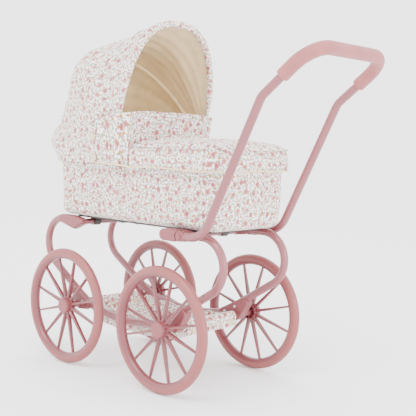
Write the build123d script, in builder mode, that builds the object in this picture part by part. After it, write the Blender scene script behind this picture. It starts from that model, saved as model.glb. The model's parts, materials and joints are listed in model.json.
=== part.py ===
from build123d import *
from math import cos, radians, sin, tan
import os

# Doll's pram: C-spring tube chassis on four spoked wheels, lift-off bassinet with
# padded apron, folding hood and a swing-down push handle.
# Frame: +X towards the push handle, +Z up, ground at Z = 0, Y = 0 is the middle.
# The origin lies under the middle of the whole pram.

# ---- driving dimensions (mm) ----
mid_x = -72.5          # middle of the wheelbase: the handle overhangs behind it
wheelbase = 239.0
wheel_r = 100.0
axle_z = wheel_r
wheel_y = 111.6        # wheel mid-plane
tyre_half_w = 8.0
tyre_half_t = 9.0      # radial half thickness of tyre and rim together
seam_r = 89.0          # where the tyre sits on the rim
spokes = 12
axle_r = 2.5
running_gap = 0.05     # radial clearance of pins and axles
gap = 0.4              # clearance between soft or moving neighbours

tube_r = 6.5           # chassis and handle tube
side_y = 74.0          # plane of the chassis tubes
top_z = 247.0          # upper run of the chassis tubes
c_r = 45.0             # bend of the C springs, on the centreline
tube_wall = 1.0
cross_r = 5.0

pivot_x, pivot_z = mid_x + 142.0, 247.0    # push handle hinge
handle_y = 93.0
pin_r = 3.0
knuckle_r = 8.2
knuckle_w = 13.0

tub_z, tub_top = 256.0, 349.0
tub_front, tub_rear = mid_x - 183.0, mid_x + 202.0
tub_y = 81.5
tub_flare = 2.5        # degrees the walls lean outwards
tub_wall = 4.0
tub_corner = 20.0

hood_x, hood_z = mid_x - 5.0, 385.0        # hood hinge
front_lean, mid_lean = 100.0, 50.0         # hoop angles up from the front
wire_r = 1.5
snap_r, snap_t = 6.2, 2.2

front_x, rear_x = mid_x - wheelbase / 2, mid_x + wheelbase / 2
ends = {"front": front_x, "rear": rear_x}  # left and right are the pushing person's

os.makedirs("parts", exist_ok=True)


def save(part, name):
    part.label = name
    export_step(part, f"parts/{name}.step")


def save_pair(right, name):
    """The piece on the right-hand side and its mirror image on the left."""
    save(right, f"{name}_right")
    save(mirror(right, about=Plane.XZ), f"{name}_left")


def with_mirror(right):
    """Both sides' solids in one group."""
    with BuildPart() as group:
        add(right)
        mirror(about=Plane.XZ)
    return group.part


def side_plane(y):
    """Side elevation at y: local x is X, local y is Z, normal -Y."""
    return Plane(origin=(0, y, 0), x_dir=(1, 0, 0), z_dir=(0, -1, 0))


def axial_plane(x, z):
    """Section through a lying axis: local x is Y, local y is the radius."""
    return Plane(origin=(x, 0, z), x_dir=(0, 1, 0), z_dir=(1, 0, 0))


def turned(outline, x, z):
    """Body of revolution about the Y direction through (x, z)."""
    with BuildPart() as body:
        with BuildSketch(axial_plane(x, z)):
            with BuildLine():
                Polyline(*outline, close=True)
            make_face()
        revolve(axis=Axis((x, 0, z), (0, 1, 0)))
    return body.part


def bar(start, end, radius, bore=0.0):
    """Round bar or tube between two points."""
    direction = Vector(*end) - Vector(*start)
    with BuildPart() as body:
        with BuildSketch(Plane(origin=start, z_dir=direction.normalized())):
            Circle(radius)
            if bore:
                Circle(bore, mode=Mode.SUBTRACT)
        extrude(amount=direction.length)
    return body.part


# ---- wheels ----
hub_in, hub_out = 101.0, 112.0             # hub faces, measured out from Y = 0
cap_out = wheel_y + tyre_half_w
ring_r = wheel_r - tyre_half_t
boss_r, wall_r, hub_r, flange_r = 5.5, 11.2, 13.4, 15.4
hub_web = 107.5                            # bottom of the hollow on the hub's inner side
hub_axis = Axis((0, 0, axle_z), (0, 1, 0))


def rim_section(outside):
    """The round wheel section cut at the seam: tyre outside it, rim inside it."""
    with BuildSketch(axial_plane(0, axle_z)) as section:
        with Locations((wheel_y, ring_r)):
            Ellipse(tyre_half_w, tyre_half_t)
        with Locations((wheel_y, seam_r)):
            Rectangle(4 * tyre_half_w, 4 * tyre_half_t, mode=Mode.INTERSECT,
                      align=(Align.CENTER, Align.MIN if outside else Align.MAX))
    return section.sketch


def spoke():
    """One tapered spoke pointing up, its narrow rib facing out."""
    rib = 1.6                              # depth of the bevelled rib
    with BuildPart() as body:
        for r, half_w, out, back in ((11.5, 2.6, 111.5, 104.0), (83.5, 1.6, 112.6, 108.0)):
            with BuildSketch(Plane(origin=(0, 0, axle_z + r), x_dir=(0, 1, 0), z_dir=(0, 0, 1))):
                with BuildLine():
                    Polyline((back, -half_w), (out - rib, -half_w), (out, -half_w / 2),
                             (out, half_w / 2), (out - rib, half_w), (back, half_w), close=True)
                make_face()
        loft()
    return body.part


def hub_rib():
    """One thin radial rib in the hollow on the hub's inner side."""
    with BuildPart() as body:
        with BuildSketch(axial_plane(0, axle_z)):
            with Locations(((hub_in + 1.0 + hub_web) / 2, (boss_r + wall_r) / 2)):
                Rectangle(hub_web - hub_in, wall_r - boss_r + 0.8)
        extrude(amount=0.7, both=True)
    return body.part


bore_r = axle_r + running_gap
with BuildPart() as wheel:
    add(rim_section(outside=False))
    revolve(axis=hub_axis)
    add(turned([(hub_in, wall_r), (hub_in, hub_r), (106.0, hub_r), (106.8, flange_r),
                (109.2, flange_r), (110.0, hub_r), (hub_out, hub_r), (hub_out, bore_r),
                (hub_in - 1.5, bore_r), (hub_in - 1.5, boss_r), (hub_web, boss_r),
                (hub_web, wall_r)], 0, axle_z))
    add([spoke().rotate(hub_axis, 360.0 / spokes * (i + 0.5)) for i in range(spokes)])
    add([hub_rib().rotate(hub_axis, 720.0 / spokes * i) for i in range(spokes // 2)])

with BuildPart() as tyre:
    add(rim_section(outside=True))
    revolve(axis=hub_axis)

hub_cap = turned([(hub_out, 10.6), (hub_out, 13.0), (117.4, 13.0), (118.9, 12.0),
                  (cap_out, 8.5), (cap_out, 0.0), (118.0, 0.0), (118.0, 8.0), (116.6, 10.6)],
                 0, axle_z)

for end, x in ends.items():
    for name, piece in (("wheel", wheel.part), ("tyre", tyre.part), ("hub_cap", hub_cap)):
        save_pair(Pos(x, 0, 0) * piece, f"{name}_{end}")

# ---- axles, washers and axle clips ----
axle_end = 116.5
for end, x in ends.items():
    save(bar((x, -axle_end, axle_z), (x, axle_end, axle_z), axle_r), f"{end}_axle")


def rings(inner, outer, near, far):
    """One ring on every axle end, between two distances out from Y = 0."""
    with BuildPart() as group:
        for x in ends.values():
            add(bar((x, near, axle_z), (x, far, axle_z), outer, inner))
    return with_mirror(group.part)


save(rings(axle_r, 5.2, 98.3, 99.2), "axle_washers")
save(rings(axle_r, 5.6, hub_out + 0.3, hub_out + 1.2), "axle_clips")

# ---- chassis tubes ----
front_c = (mid_x - 177.5, top_z - c_r)     # centres of the C bends
rear_c = (mid_x + 169.0, top_z - c_r)
slope_deg, bar_deg = 31.7, 14.0            # the run from the C to the axle, and the lower bar
slope = radians(slope_deg)
bar_half = 93.5                            # half length of the sagging lower bar
knee_r = 60.0                              # gentle bend over the front axle
c_end = (c_r * sin(slope), c_r * cos(slope))      # where each C runs out, back and down
knee_chord = 2 * knee_r * sin(radians(slope_deg - bar_deg) / 2)
knee_dir = radians(slope_deg + bar_deg) / 2
knee_x = mid_x - bar_half - knee_chord * cos(knee_dir)
knee_z = front_c[1] - c_end[1] - (knee_x - front_c[0] + c_end[0]) * tan(slope)
bar_z = knee_z - knee_chord * sin(knee_dir)
bar_sag = bar_half * (1 - cos(radians(bar_deg))) / sin(radians(bar_deg))
front_top_x, rear_top_x = mid_x - 147.5, mid_x + 126.0   # upper tube ends
socket_x = rear_x - 6.5                    # the rear tube stops here, inside its bracket


def along(path, radius=tube_r, bore=tube_r - tube_wall):
    """Round tube along a BuildLine path; a solid rod where bore is 0."""
    wire = path.wire()
    with BuildPart() as body:
        with BuildSketch(Plane(origin=wire @ 0, z_dir=wire % 0)):
            Circle(radius)
            if bore:
                Circle(bore, mode=Mode.SUBTRACT)
        sweep(path=wire)
    return body.part


with BuildLine(side_plane(side_y)) as front_path:
    Line((front_top_x, top_z), (front_c[0], top_z))
    CenterArc(front_c, c_r, 90, 180 - slope_deg)
    Line((front_c[0] - c_end[0], front_c[1] - c_end[1]), (knee_x, knee_z))
    RadiusArc((knee_x, knee_z), (mid_x - bar_half, bar_z), -knee_r)
    ThreePointArc((mid_x - bar_half, bar_z), (mid_x, bar_z - bar_sag), (mid_x + bar_half, bar_z))

with BuildLine(side_plane(side_y)) as rear_path:
    Line((rear_top_x, top_z), (rear_c[0], top_z))
    CenterArc(rear_c, c_r, 90, slope_deg - 180)
    run_x, run_z = rear_c[0] + c_end[0], rear_c[1] - c_end[1]
    Line((run_x, run_z), (socket_x, run_z - (run_x - socket_x) * tan(slope)))

save_pair(along(front_path), "front_tube")
save_pair(along(rear_path), "rear_tube")
front_rod, rear_rod = along(front_path, bore=0), along(rear_path, bore=0)


def slab(outline, near, far, rounding=0.0):
    """Piece cut to a side-elevation sketch, between two distances out from Y = 0."""
    with BuildPart() as body:
        with BuildSketch(side_plane(near)):
            add(outline)
        extrude(amount=near - far)
        if rounding:
            fillet(body.faces().filter_by(Axis.Y).edges(), rounding)
    return body.part


def hull_of(*circles):
    """Outline stretched round circles given as (x, z, radius)."""
    with BuildSketch() as outline:
        for x, z, r in circles:
            with Locations((x, z)):
                Circle(r)
        make_hull()
    return outline.sketch


# ---- axle brackets: each clamps the chassis tubes and carries one axle end ----
bracket_in, bracket_out, boss_out = side_y - 8.4, side_y + 8.4, 98.0
lug_r, boss_w = 9.6, 5.8
bracket_shapes = {
    "front": ((mid_x - 138.0, 118.5, 7.0), (mid_x - 100.0, 99.0, 6.5), (front_x, axle_z, lug_r)),
    "rear": ((mid_x + 88.0, 99.8, 7.4), (mid_x + 135.0, 122.6, 8.6), (rear_x, axle_z, lug_r))}
for end, x in ends.items():
    with BuildPart() as bracket:
        add(slab(hull_of(*bracket_shapes[end]), bracket_in, bracket_out, 2.0))
        add(bar((x, side_y, axle_z), (x, boss_out, axle_z), boss_w))
        add(front_rod, mode=Mode.SUBTRACT)
        add(rear_rod, mode=Mode.SUBTRACT)
        add(bar((x, 0, axle_z), (x, wheel_y, axle_z), axle_r), mode=Mode.SUBTRACT)
    save_pair(bracket.solids().sort_by(SortBy.VOLUME)[-1], f"{end}_bracket")

# Two through bolts in each bracket, with a head on both of its faces.
bolt_head_r, head_t = 2.9, 1.3
bolt_spots = ((mid_x - 135.8, 113.6), (mid_x - 111.0, 105.0),
              (mid_x + 117.2, 113.6), (mid_x + 95.4, 102.8))
with BuildPart() as bolts:
    for x, z in bolt_spots:
        add(bar((x, bracket_out, z), (x, bracket_out + head_t, z), bolt_head_r))
        add(bar((x, bracket_in - head_t, z), (x, bracket_in, z), bolt_head_r))
save(with_mirror(bolts.part), "bracket_bolts")

# ---- upper connectors and cross tubes, which carry the bassinet ----
conn_in, conn_out = side_y - 8.5, side_y + 8.5
front_cross = (mid_x - 138.0, 243.0)
rear_cross = (mid_x + 114.0, 243.5)
cross_end = side_y - 2.0


def cross_rod(x, z, bore=0.0):
    return bar((x, -cross_end, z), (x, cross_end, z), cross_r, bore)


with BuildPart() as front_connector:
    add(slab(hull_of((mid_x - 177.0, top_z, 7.6), (mid_x - 143.0, 242.5, 11.5),
                     (mid_x - 122.0, 245.0, 5.0)), conn_in, conn_out, 4.0))
    add(front_rod, mode=Mode.SUBTRACT)
    add(cross_rod(*front_cross), mode=Mode.SUBTRACT)
save_pair(front_connector.part, "front_connector")

collar_x = mid_x + 137.0
with BuildPart() as rear_connector:
    add(slab(hull_of((mid_x + 111.5, rear_cross[1], 7.0), (mid_x + 130.0, top_z, 8.4)),
             conn_in, conn_out, 3.0))
    add(bar((mid_x + 130.0, side_y, top_z), (collar_x, side_y, top_z), 8.0))
    add(bar((collar_x, side_y, top_z), (collar_x + 3.0, side_y, top_z), 8.4))
    add(rear_rod, mode=Mode.SUBTRACT)
    add(cross_rod(*rear_cross), mode=Mode.SUBTRACT)
save_pair(rear_connector.part, "rear_connector")

save(cross_rod(*front_cross, cross_r - tube_wall), "front_cross_tube")
save(cross_rod(*rear_cross, cross_r - tube_wall), "rear_cross_tube")

with BuildPart() as connector_screws:
    low_z, x = 231.0, mid_x - 143.0
    add(bar((x, side_y, low_z), (x, side_y, low_z - head_t), bolt_head_r))
    x = mid_x + 127.5
    add(bar((x, conn_in - head_t, top_z), (x, conn_in, top_z), bolt_head_r))
save(with_mirror(connector_screws.part), "connector_screws")

# Lower cross tubes run over the axles; the basket hangs on them.
sleeve_r, sleeve_bore = 6.0, axle_r + 0.2
sleeve_end = bracket_in - 0.1
for end, x in ends.items():
    save(bar((x, -sleeve_end, axle_z), (x, sleeve_end, axle_z), sleeve_r, sleeve_bore),
         f"{end}_axle_sleeve")

# ---- push handle and its hinges ----
plate_in, plate_out = conn_out, handle_y - knuckle_w / 2 - 0.5
shell_r = 9.2
knuckle_in, knuckle_out = handle_y - knuckle_w / 2, handle_y + knuckle_w / 2
with BuildPart() as socket:
    add(slab(hull_of((mid_x + 107.5, pivot_z, shell_r), (pivot_x, pivot_z, shell_r)),
             plate_in, plate_out))
    add(slab(hull_of((mid_x + 107.5, pivot_z, shell_r), (mid_x + 130.0, pivot_z, shell_r)),
             plate_out, knuckle_out, 2.5))
    add(bar((pivot_x, plate_out, pivot_z), (pivot_x, knuckle_out + 1, pivot_z), knuckle_r + gap),
        mode=Mode.SUBTRACT)
    add(bar((pivot_x, 0, pivot_z), (pivot_x, wheel_y, pivot_z), pin_r), mode=Mode.SUBTRACT)
save_pair(socket.part, "handle_socket")

with BuildPart() as pin:
    add(bar((pivot_x, plate_in, pivot_z), (pivot_x, knuckle_out + 0.3, pivot_z), pin_r))
    add(bar((pivot_x, knuckle_out + 0.3, pivot_z), (pivot_x, knuckle_out + 1.5, pivot_z), 4.8))
save(with_mirror(pin.part), "handle_pins")

tube_start = pivot_x + 10.0
spigot_end = tube_start + 8.0
with BuildPart() as knuckle:
    add(slab(hull_of((pivot_x, pivot_z, knuckle_r), (tube_start - tube_r, pivot_z, tube_r)),
             knuckle_in, knuckle_out, 2.5))
    add(bar((tube_start - 3.0, handle_y, pivot_z), (spigot_end, handle_y, pivot_z),
            tube_r - tube_wall))
    add(bar((pivot_x, 0, pivot_z), (pivot_x, wheel_y, pivot_z), pin_r + running_gap),
        mode=Mode.SUBTRACT)
save_pair(knuckle.part, "handle_knuckle")

low_bend = (mid_x + 186.3, pivot_z)
high_bend = (mid_x + 291.0, 457.0)
loop_lean = radians(38.0)
loop_len, loop_r, grip_r = 107.0, 40.0, 10.0
grip_from = 45.0                           # how far past the high bend the grip starts
loop_end = (high_bend[0] + loop_len * cos(loop_lean), high_bend[1] + loop_len * sin(loop_lean))
grip_start = (high_bend[0] + grip_from * cos(loop_lean), high_bend[1] + grip_from * sin(loop_lean))


def mirrored_loop(points):
    """Points (x, z) on the right side, then the same ones back along the left side."""
    right = [(x, handle_y, z) for x, z in points]
    return right + [(x, -y, z) for x, y, z in reversed(right)]


with BuildLine() as handle_path:
    FilletPolyline(*mirrored_loop([(tube_start, pivot_z), low_bend, high_bend, loop_end]),
                   radius=[42.0, 30.0, loop_r, loop_r, 30.0, 42.0])
save(along(handle_path), "handle_tube")

with BuildLine() as grip_path:
    FilletPolyline(*mirrored_loop([grip_start, loop_end]), radius=[loop_r, loop_r])
save(along(grip_path, grip_r, tube_r), "foam_grip")

# ---- bassinet ----
tub_h = tub_top - tub_z
tub_x = (tub_front + tub_rear) / 2
tub_l = tub_rear - tub_front
spread = tub_h * tan(radians(tub_flare))   # how far the flare carries the top out
rim_t = 4.0


def rounded_plan(z, grow, corner=tub_corner):
    """The bassinet's plan at height z, each side moved out by grow."""
    with BuildSketch(Plane.XY.offset(z)) as plan:
        with Locations((tub_x, 0)):
            RectangleRounded(tub_l + 2 * grow, 2 * (tub_y + grow), corner)
    return plan.sketch


with BuildPart() as tub:
    add(rounded_plan(tub_z, 0))
    extrude(amount=tub_h, taper=-tub_flare)
    fillet(tub.faces().sort_by(Axis.Z)[0].edges(), 9.0)
    add(rounded_plan(tub_z + tub_wall, -tub_wall, tub_corner - tub_wall))
    extrude(amount=tub_h, taper=-tub_flare, mode=Mode.SUBTRACT)
save(tub.part, "bassinet_tub")

with BuildPart() as rim:
    add(rounded_plan(tub_top, spread))
    add(rounded_plan(tub_top, spread - tub_wall, tub_corner - tub_wall), mode=Mode.SUBTRACT)
    extrude(amount=rim_t)
save(rim.part, "bassinet_rim")

with BuildPart() as mattress:
    add(rounded_plan(tub_z + tub_wall + gap, -tub_wall - 1.0, tub_corner - tub_wall))
    extrude(amount=22.0, taper=-tub_flare)
    fillet(mattress.faces().sort_by(Axis.Z)[-1].edges(), 6.0)
save(mattress.part, "mattress")

base_z, base_t = 252.2, 3.6
with BuildPart() as base:
    with BuildSketch(Plane.XY.offset(base_z)):
        with Locations((tub_x, 0)):
            RectangleRounded(tub_l - 50.0, 2 * tub_y - 36.0, 12.0)
    extrude(amount=base_t)
save(base.part, "base_plate")

# Snap-on clips that hold the bassinet on the two upper cross tubes.
clip_y, clip_half, clip_r = 33.0, 7.0, 7.6
with BuildPart() as clips:
    for x, z in (front_cross, rear_cross):
        with BuildPart(mode=Mode.PRIVATE) as clip:
            add(slab(hull_of((x, z, clip_r)), clip_y - clip_half, clip_y + clip_half))
            with Locations((x, clip_y, (z + base_z) / 2)):
                Box(9.0, 2 * clip_half, base_z - z)
            add(cross_rod(x, z), mode=Mode.SUBTRACT)
            with Locations((x, clip_y, z - clip_r)):
                Box(6.4, 2 * clip_half, 2 * clip_r, mode=Mode.SUBTRACT)
        add(clip.part)
save(with_mirror(clips.part), "bassinet_clips")

# ---- apron: padded cover with a skirt over the bassinet's rim ----
apron_front, apron_rear = mid_x + 16.6, mid_x + 211.0
apron_y, apron_low, apron_top = 96.0, 347.0, 393.0
with BuildPart() as apron:
    with BuildSketch(Plane.XY.offset(apron_low)) as plan:
        with Locations(((apron_front + apron_rear) / 2, 0)):
            Rectangle(apron_rear - apron_front, 2 * apron_y)
        fillet(plan.vertices().group_by(Axis.X)[-1], 26.0)
    extrude(amount=apron_top - apron_low)
    top_edges = apron.faces().sort_by(Axis.Z)[-1].edges()
    fillet(top_edges.filter_by(lambda e: e.center().X > apron_front + 1), 15.0)
    with BuildSketch(Plane.XY.offset(apron_low)) as inside:
        with Locations(((apron_front + apron_rear) / 2 - 6.0, 0)):
            Rectangle(apron_rear - apron_front + 3.0, 2 * (tub_y + spread + 4.0))
        fillet(inside.vertices().group_by(Axis.X)[-1], tub_corner)
    extrude(amount=24.0, mode=Mode.SUBTRACT)
save(apron.part, "apron")

# ---- windbreak collar: stands up in front of the apron and wraps round the hood's sides ----
wall_t = 3.4
collar_front, collar_rear = mid_x - 63.0, mid_x + 16.0
collar_low, collar_high = 352.0, 438.0
collar_y = {collar_low: 105.6, collar_high: 114.0}
with BuildPart() as windbreak:
    for z, y in collar_y.items():
        with BuildSketch(Plane.XY.offset(z)) as plan:
            for shrink, cut in ((0.0, Mode.ADD), (wall_t, Mode.SUBTRACT)):
                with BuildSketch(mode=Mode.PRIVATE) as block:
                    with Locations((collar_rear - shrink, 0)):
                        Rectangle(collar_rear - collar_front, 2 * (y - shrink), align=(Align.MAX, Align.CENTER))
                    fillet(block.vertices().group_by(Axis.X)[-1], 22.0 - shrink)
                add(block.sketch, mode=cut)
            with Locations((collar_front, 0)):
                Rectangle(wall_t * 2.1, 2 * (y - wall_t), mode=Mode.SUBTRACT, align=(Align.MIN, Align.CENTER))
    loft()
    with Locations((collar_rear, 0, collar_low)):
        Box(40.0, 2 * (tub_y + 12.0), 2 * (apron_low + 25.0 - collar_low), mode=Mode.SUBTRACT)
save(windbreak.part, "windbreak_collar")

snap_x = mid_x - 55.0
with BuildPart() as collar_snaps:
    for z in (360.0, 395.0):
        level = (z - collar_low) / (collar_high - collar_low)
        y = collar_y[collar_low] + level * (collar_y[collar_high] - collar_y[collar_low]) + 0.7
        add(bar((snap_x, y, z), (snap_x, y + snap_t, z), snap_r))
    fillet(collar_snaps.faces().filter_by(Axis.Y).edges(), 0.7)
save(with_mirror(collar_snaps.part), "collar_snaps")

# ---- hood: two wire hoops on side hinges, under one fabric canopy ----
hinge_in, hinge_out = tub_y + spread + 0.5, tub_y + spread + 2.9
hinge_pin_r = 2.0
front_eye, mid_eye = hinge_out + 2.2, hinge_out + 6.0
eye_r, eye_half = 5.0, 1.5
with BuildPart() as hinge:
    add(slab(hull_of((hood_x, hood_z, 6.5), (hood_x, 362.0, 8.0)), hinge_in, hinge_out))
    add(bar((hood_x, hinge_in, hood_z), (hood_x, mid_eye + 2.2, hood_z), hinge_pin_r))
    add(bar((hood_x, mid_eye + 2.2, hood_z), (hood_x, mid_eye + 3.4, hood_z), 4.0))
save_pair(hinge.part, "hood_hinge")


def hoop(lean, eye_y, half_w, reach):
    """Wire hoop about the hood hinge: lean is its angle up from the front, in degrees."""
    up = (-cos(radians(lean)), sin(radians(lean)))
    plane = Plane(origin=(hood_x, 0, hood_z), x_dir=(0, 1, 0), z_dir=(up[1], 0, -up[0]))
    right = [(eye_y, eye_r - 1.0), (0.985 * half_w, 0.25 * reach), (0.97 * half_w, 0.46 * reach),
             (0.83 * half_w, 0.70 * reach), (0.52 * half_w, 0.905 * reach)]
    with BuildLine(plane) as path:
        Spline(*right, (0, reach), *[(-y, r) for y, r in reversed(right)])
    with BuildPart() as body:
        add(along(path, wire_r, 0))
        for y in (eye_y, -eye_y):
            add(bar((hood_x, y - eye_half, hood_z), (hood_x, y + eye_half, hood_z), eye_r))
        add(bar((hood_x, -wheel_y, hood_z), (hood_x, wheel_y, hood_z), hinge_pin_r + running_gap),
            mode=Mode.SUBTRACT)
    return body.part


save(hoop(front_lean, front_eye, 105.0, 203.5), "front_hoop")
save(hoop(mid_lean, mid_eye, 103.5, 203.5), "mid_hoop")

# Crown line of the canopy about the hinge: (degrees up from the front, reach).
crown = ((-9, 214), (0, 235), (12, 209), (25, 201), (38, 210), (50, 213), (62, 199), (76, 195),
         (88, 200), (100, 209))
# Half of the arch seen from the rear: (half width, height).
arch = ((100.5, 350), (101.5, 385), (108, 440), (105.5, 489), (93, 531), (75, 562.6),
        (50.8, 583.5))
arch_top = 593.0
cloth_t = 2.4
canopy_low = 351.0


def canopy_block(inset):
    """Side profile, arch and plan of the hood, crossed; inset moves every wall in."""
    rim = [(hood_x - (r - inset) * cos(radians(a)), hood_z + (r - inset) * sin(radians(a)))
           for a, r in crown]
    drop, past = (20.0, 30.0) if inset else (0.0, 1.0)
    with BuildPart() as block:
        with BuildSketch(side_plane(0)):
            with BuildLine():
                Spline(*rim)
                Polyline(rim[-1], (rim[-1][0] + past, rim[-1][1]), (mid_x + 12.0 + past, 470.0),
                         (mid_x - 4.0 + past, 441.0), (mid_x - 32.0 + past, 425.0),
                         (mid_x - 65.0 + past, 385.0), (mid_x - 65.0 + past, canopy_low - drop),
                         (rim[0][0] + inset, canopy_low - drop), rim[0])
            make_face()
        extrude(amount=130.0, both=True)
        half = [(y - inset, z) for y, z in arch]
        with BuildSketch(Plane.YZ.offset(mid_x)):
            with BuildLine():
                Spline(*half, (0, arch_top - inset), *[(-y, z) for y, z in reversed(half)])
                Polyline((-half[0][0], half[0][1]), (-half[0][0], half[0][1] - 30.0),
                         (half[0][0], half[0][1] - 30.0), half[0])
            make_face()
        extrude(amount=300.0, both=True, mode=Mode.INTERSECT)
        nose, flank, rear = mid_x - 241.0 + inset, 105.0 - inset, 118.0 - inset
        with BuildSketch(Plane.XY.offset(300.0)) as plan:
            with BuildLine():
                Polyline((nose, 0), (nose, flank), (mid_x + 80.0, rear), (mid_x + 80.0, -rear),
                         (nose, -flank), (nose, 0))
            make_face()
            fillet(plan.vertices().group_by(Axis.X)[0].filter_by(lambda v: abs(v.Y) > 1), 72.0)
        extrude(amount=400.0, mode=Mode.INTERSECT)
    return block.part


with BuildPart() as canopy:
    add(canopy_block(0.0))
    add(canopy_block(cloth_t), mode=Mode.SUBTRACT)
save(canopy.part, "hood_canopy")

# ---- basket: fabric sling between the axle sleeves ----
basket_y, basket_top = 64.8, 99.0
basket_wall = 2.0
floor_line = ((-112.0, 78.0), (-90.0, 70.0), (-55.0, 67.0), (50.0, 66.0), (100.0, 70.5),
              (112.0, 76.0))
flap_y, flap_r, tongue = 58.0, 8.3, 17.0
inner = [(mid_x + x * 0.98, z + basket_wall) for x, z in floor_line]
with BuildPart() as basket:
    with BuildSketch(side_plane(0)):
        with BuildLine():
            Polyline(*[(mid_x + x, z) for x, z in floor_line], (mid_x + 112.0, basket_top),
                     (mid_x - 112.0, basket_top), close=True)
        make_face()
    extrude(amount=basket_y, both=True)
    with BuildSketch(side_plane(0)):
        with BuildLine():
            Polyline(*inner, (inner[-1][0], 130.0), (inner[0][0], 130.0), close=True)
        make_face()
    extrude(amount=basket_y - basket_wall, both=True, mode=Mode.SUBTRACT)
    for x in ends.values():
        add(bar((x, -flap_y, axle_z), (x, flap_y, axle_z), flap_r))
    with Locations((rear_x + flap_r, 0, axle_z)):
        Box(basket_wall, 2 * flap_y, tongue, align=(Align.MAX, Align.CENTER, Align.MAX))
    for x in ends.values():
        add(bar((x, -wheel_y, axle_z), (x, wheel_y, axle_z), sleeve_r + 0.3), mode=Mode.SUBTRACT)
save(basket.part, "basket")

with BuildPart() as basket_snaps:
    for x in (inner[0][0] + 0.2, rear_x + flap_r + 0.2):
        add(bar((x, 43.0, axle_z - 9.0), (x + snap_t, 43.0, axle_z - 9.0), snap_r))
    fillet(basket_snaps.faces().filter_by(Axis.X).edges(), 0.7)
save(with_mirror(basket_snaps.part), "basket_snaps")
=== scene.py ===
import json
from math import cos, pi, radians, sin

import bmesh
import bpy
import numpy as np
from mathutils import Matrix, Vector


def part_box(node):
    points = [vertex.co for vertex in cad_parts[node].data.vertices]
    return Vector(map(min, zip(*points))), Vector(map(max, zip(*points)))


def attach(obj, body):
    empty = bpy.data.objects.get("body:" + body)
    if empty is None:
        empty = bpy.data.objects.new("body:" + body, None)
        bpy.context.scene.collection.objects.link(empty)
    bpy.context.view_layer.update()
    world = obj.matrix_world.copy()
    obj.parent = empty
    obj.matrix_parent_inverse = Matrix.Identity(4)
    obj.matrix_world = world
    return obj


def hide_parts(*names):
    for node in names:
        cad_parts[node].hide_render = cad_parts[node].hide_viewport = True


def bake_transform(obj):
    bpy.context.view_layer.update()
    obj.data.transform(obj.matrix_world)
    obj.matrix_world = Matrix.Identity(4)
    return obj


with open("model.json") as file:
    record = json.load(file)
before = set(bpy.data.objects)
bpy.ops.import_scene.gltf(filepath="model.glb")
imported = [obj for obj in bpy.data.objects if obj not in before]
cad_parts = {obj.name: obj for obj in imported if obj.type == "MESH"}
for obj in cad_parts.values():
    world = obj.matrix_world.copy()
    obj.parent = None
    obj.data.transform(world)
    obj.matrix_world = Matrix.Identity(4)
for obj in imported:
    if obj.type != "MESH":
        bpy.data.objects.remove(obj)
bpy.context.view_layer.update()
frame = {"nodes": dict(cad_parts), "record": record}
nodes, record = frame["nodes"], frame["record"]
MM = 0.001
joints = {j["name"]: j for j in record["behaviour"]["joints"]}
hinge = Vector(joints["hood_fold"]["pos_m"])
wheelbase_x = (joints["front_left_wheel_spin"]["pos_m"][0] + joints["rear_left_wheel_spin"]["pos_m"][0]) / 2


def span(node):
    lo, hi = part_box(node)
    return Vector(lo), Vector(hi)


def ramp(x, a, b):
    """0 below a, 1 above b, smooth between."""
    t = np.clip((np.asarray(x, float) - a) / (b - a), 0, 1)
    return t * t * (3 - 2 * t)


def curve_through(x, xs, ys):
    """Smooth interpolation through the given values."""
    xs, ys = np.array(xs, float), np.array(ys, float)
    slope = np.gradient(ys, xs)
    x = np.clip(x, xs[0], xs[-1])
    k = np.clip(np.searchsorted(xs, x) - 1, 0, len(xs) - 2)
    h = xs[k + 1] - xs[k]
    t = (x - xs[k]) / h
    return ((1 + 2 * t) * (1 - t) ** 2 * ys[k] + t * (1 - t) ** 2 * h * slope[k]
            + t * t * (3 - 2 * t) * ys[k + 1] + t * t * (t - 1) * h * slope[k + 1])


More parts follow.
